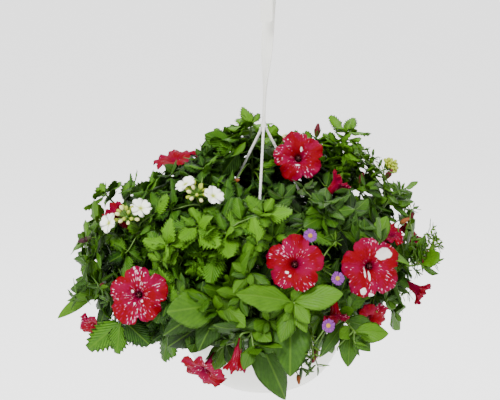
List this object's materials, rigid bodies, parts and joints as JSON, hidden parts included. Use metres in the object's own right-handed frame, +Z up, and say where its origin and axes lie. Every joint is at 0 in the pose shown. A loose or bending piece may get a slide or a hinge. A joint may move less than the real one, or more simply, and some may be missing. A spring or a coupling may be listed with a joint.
{
  "type": "flowering hanging basket",
  "caption": "White hanging pot on a three-legged hanger with a hook, planted with red petunias, white verbena and small mauve daisies.",
  "frame": {"origin": "middle of the pot's flat base", "axes": "+Z up along the pot's axis, through the hook above; -Y towards the side that the picture shows"},
  "size_m": [0.4583, 0.4084, 0.5281],
  "materials": {
    "white_plastic": "smooth moulded plastic, satin",
    "potting_soil": "dark crumbly potting soil, matt",
    "petunia_leaf": "soft, slightly hairy leaf, satin",
    "verbena_leaf": "veined, toothed leaf, satin",
    "daisy_leaf": "fine cut leaf, satin",
    "red_petal": "velvety red petal with pale speckles",
    "white_petal": "soft white petal, matt",
    "mauve_petal": "soft mauve rays round a yellow disc"
  },
  "bodies": {
    "root": {"daisy_back": "mauve_petal", "daisy_low": "mauve_petal", "daisy_middle": "mauve_petal", "daisy_spray_back": "daisy_leaf", "daisy_spray_edge": "daisy_leaf", "daisy_spray_front": "daisy_leaf", "daisy_spray_low": "daisy_leaf", "daisy_upper": "mauve_petal", "hanger": "white_plastic", "petunia_back": "petunia_leaf", "petunia_back_left": "petunia_leaf", "petunia_back_right": "petunia_leaf", "petunia_bloom_a": "red_petal", "petunia_bloom_b": "red_petal", "petunia_bloom_c": "red_petal", "petunia_bloom_d": "red_petal", "petunia_bloom_e": "red_petal", "petunia_bloom_f": "red_petal", "petunia_bloom_g": "red_petal", "petunia_bloom_h": "red_petal", "petunia_bloom_i": "red_petal", "petunia_bloom_j": "red_petal", "petunia_bloom_k": "red_petal", "petunia_bloom_l": "red_petal", "petunia_bloom_m": "red_petal", "petunia_bloom_n": "red_petal", "petunia_bloom_o": "red_petal", "petunia_bloom_p": "red_petal", "petunia_bloom_q": "red_petal", "petunia_bloom_r": "red_petal", "petunia_crown": "petunia_leaf", "petunia_far_left": "petunia_leaf", "petunia_far_right": "petunia_leaf", "petunia_front": "petunia_leaf", "petunia_front_left": "petunia_leaf", "petunia_left": "petunia_leaf", "petunia_low": "petunia_leaf", "petunia_low_right": "petunia_leaf", "petunia_right": "petunia_leaf", "petunia_side": "petunia_leaf", "petunia_top": "petunia_leaf", "petunia_top_left": "petunia_leaf", "petunia_top_right": "petunia_leaf", "pot": "white_plastic", "soil": "potting_soil", "verbena_back": "verbena_leaf", "verbena_back_low_left": "verbena_leaf", "verbena_back_low_right": "verbena_leaf", "verbena_head_back": "white_petal", "verbena_head_left": "white_petal", "verbena_head_right": "white_petal", "verbena_head_upper": "white_petal", "verbena_left": "verbena_leaf", "verbena_low_left": "verbena_leaf", "verbena_middle": "verbena_leaf", "verbena_middle_left": "verbena_leaf", "verbena_top": "verbena_leaf", "verbena_top_left": "verbena_leaf", "verbena_top_right": "verbena_leaf", "verbena_upper": "verbena_leaf"}
  },
  "joints": []
}
